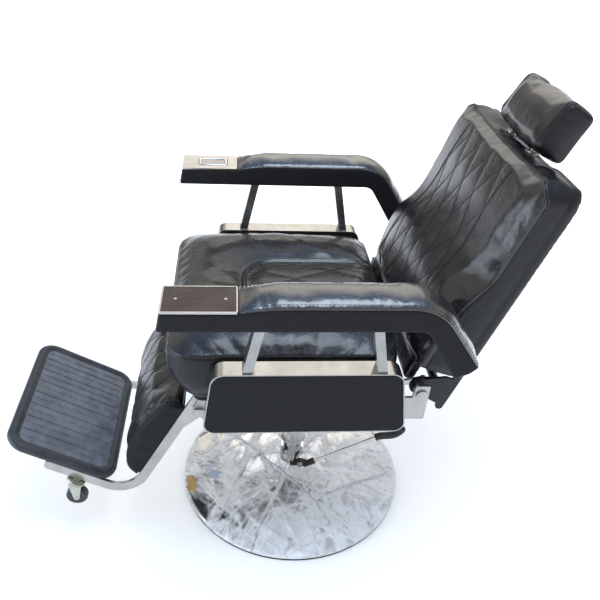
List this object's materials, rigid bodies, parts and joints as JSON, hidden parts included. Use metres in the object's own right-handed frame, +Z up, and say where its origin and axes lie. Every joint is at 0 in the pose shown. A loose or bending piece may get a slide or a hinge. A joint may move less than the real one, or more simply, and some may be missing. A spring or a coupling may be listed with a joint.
{
  "type": "hydraulic barber chair",
  "caption": "Reclining hydraulic barber chair with a padded seat, padded arms, headrest and linked leg rest, turning and rising on a round chrome base.",
  "frame": {"origin": "on the floor, at the middle of the round base", "axes": "+Z up; the chair faces -Y; the sitter's left is +X"},
  "size_m": [0.727, 1.1937, 1.0866],
  "materials": {
    "chrome": "polished",
    "steel": "satin",
    "grey_paint": "satin",
    "black_paint": "satin",
    "zinc": "satin",
    "rubber": "matte",
    "mat_rubber": "matte",
    "wheel": "satin",
    "leather": "satin",
    "mahogany": "gloss",
    "plywood": "matte"
  },
  "bodies": {
    "base": {"base_disc": "chrome", "base_weight": "black_paint", "base_ring": "rubber", "base_bolts": "steel", "pump_body": "black_paint", "lever_pin": "steel"},
    "column": {"pump_ram": "steel", "column_sleeve": "chrome", "thrust_washer": "steel", "swivel_nut": "steel"},
    "seat": {"swivel_plate": "grey_paint", "seat_frame": "grey_paint", "seat_board": "plywood", "seat_cushion": "leather", "pivot_pins": "steel", "pivot_bushes": "steel", "plate_frame": "chrome", "wood_plate": "mahogany", "plate_screws": "steel", "ashtray_plate": "chrome", "ashtray_bin": "steel", "hinge_plate_left": "grey_paint", "hinge_plate_right": "grey_paint", "side_band_left": "chrome", "side_band_right": "chrome", "outer_panel_left": "leather", "outer_panel_right": "leather", "inner_panel_left": "leather", "inner_panel_right": "leather", "arm_posts_left": "chrome", "arm_posts_right": "chrome", "arm_body_left": "leather", "arm_body_right": "leather", "arm_pad_left": "leather", "arm_pad_right": "leather"},
    "back": {"back_cushion": "leather", "back_board": "leather", "back_frame": "black_paint", "lock_quadrant": "black_paint", "post_guides": "steel"},
    "headrest": {"headrest_posts": "steel", "headrest_cushion": "leather"},
    "leg_rest": {"leg_bar_left": "grey_paint", "leg_bar_right": "grey_paint", "leg_cross": "grey_paint", "calf_board": "plywood", "calf_pad": "leather", "foot_tray": "grey_paint", "foot_mat": "mat_rubber"},
    "sync_links": {"sync_links": "grey_paint"},
    "pump_lever": {"pump_fork": "black_paint", "pump_rod": "chrome", "pump_grip": "rubber"},
    "pump_plunger": {"pump_plunger": "steel"},
    "ashtray_lid": {"ashtray_lid": "chrome"},
    "lock_handle": {"lock_handle": "black_paint"},
    "caster_fork_left": {"caster_fork_left": "zinc"},
    "caster_wheel_left": {"caster_wheel_left": "wheel"},
    "caster_fork_right": {"caster_fork_right": "zinc"},
    "caster_wheel_right": {"caster_wheel_right": "wheel"}
  },
  "joints": [
    {"name": "lift", "type": "slide", "parent": "base", "child": "column", "axis": [0, 0, 1], "range_m": [-0.03, 0.12]},
    {"name": "swivel", "type": "hinge", "parent": "column", "child": "seat", "pos_m": [0, 0, 0.438], "axis": [0, 0, 1], "continuous": true},
    {"name": "recline", "type": "hinge", "parent": "seat", "child": "back", "pos_m": [0, 0.232, 0.512], "axis": [-1, 0, 0], "range_deg": [-12, 43]},
    {"name": "leg_rest_swing", "type": "hinge", "parent": "seat", "child": "leg_rest", "pos_m": [0, -0.235, 0.404], "axis": [-1, 0, 0], "range_deg": [-12, 43]},
    {"name": "link_pivot", "type": "hinge", "parent": "back", "child": "sync_links", "pos_m": [0, 0.262, 0.476], "axis": [-1, 0, 0], "range_deg": [-43, 12]},
    {"name": "headrest_height", "type": "slide", "parent": "back", "child": "headrest", "axis": [0, 0.342, 0.9397], "range_m": [0, 0.08]},
    {"name": "pump_pedal", "type": "hinge", "parent": "base", "child": "pump_lever", "pos_m": [0.039, 0.018, 0.076], "axis": [1, 0, 0], "range_deg": [-20, 0], "stiffness_Nm_per_rad": 3, "springref_deg": 11.46},
    {"name": "plunger_stroke", "type": "slide", "parent": "base", "child": "pump_plunger", "axis": [0, 0, 1], "range_m": [0, 0.00699]},
    {"name": "ashtray_hinge", "type": "hinge", "parent": "seat", "child": "ashtray_lid", "pos_m": [-0.3195, -0.1792, 0.7788], "axis": [-1, 0, 0], "range_deg": [0, 80]},
    {"name": "lock_turn", "type": "hinge", "parent": "seat", "child": "lock_handle", "pos_m": [-0.27, 0.22436, 0.46867], "axis": [1, 0, 0], "range_deg": [-20, 40]},
    {"name": "caster_swivel_left", "type": "hinge", "parent": "leg_rest", "child": "caster_fork_left", "pos_m": [0.185, -0.52287, 0.19104], "axis": [0, 0.4848, 0.8746], "continuous": true},
    {"name": "caster_roll_left", "type": "hinge", "parent": "caster_fork_left", "child": "caster_wheel_left", "pos_m": [0.185, -0.52899, 0.13669], "axis": [1, 0, 0], "continuous": true},
    {"name": "caster_swivel_right", "type": "hinge", "parent": "leg_rest", "child": "caster_fork_right", "pos_m": [-0.185, -0.52287, 0.19104], "axis": [0, 0.4848, 0.8746], "continuous": true},
    {"name": "caster_roll_right", "type": "hinge", "parent": "caster_fork_right", "child": "caster_wheel_right", "pos_m": [-0.185, -0.52899, 0.13669], "axis": [1, 0, 0], "continuous": true}
  ],
  "couplings": [
    {"joint": "leg_rest_swing", "follows": "recline", "ratio": 1},
    {"joint": "link_pivot", "follows": "recline", "ratio": -1},
    {"joint": "plunger_stroke", "follows": "pump_pedal", "m_per_rad": -0.02}
  ]
}
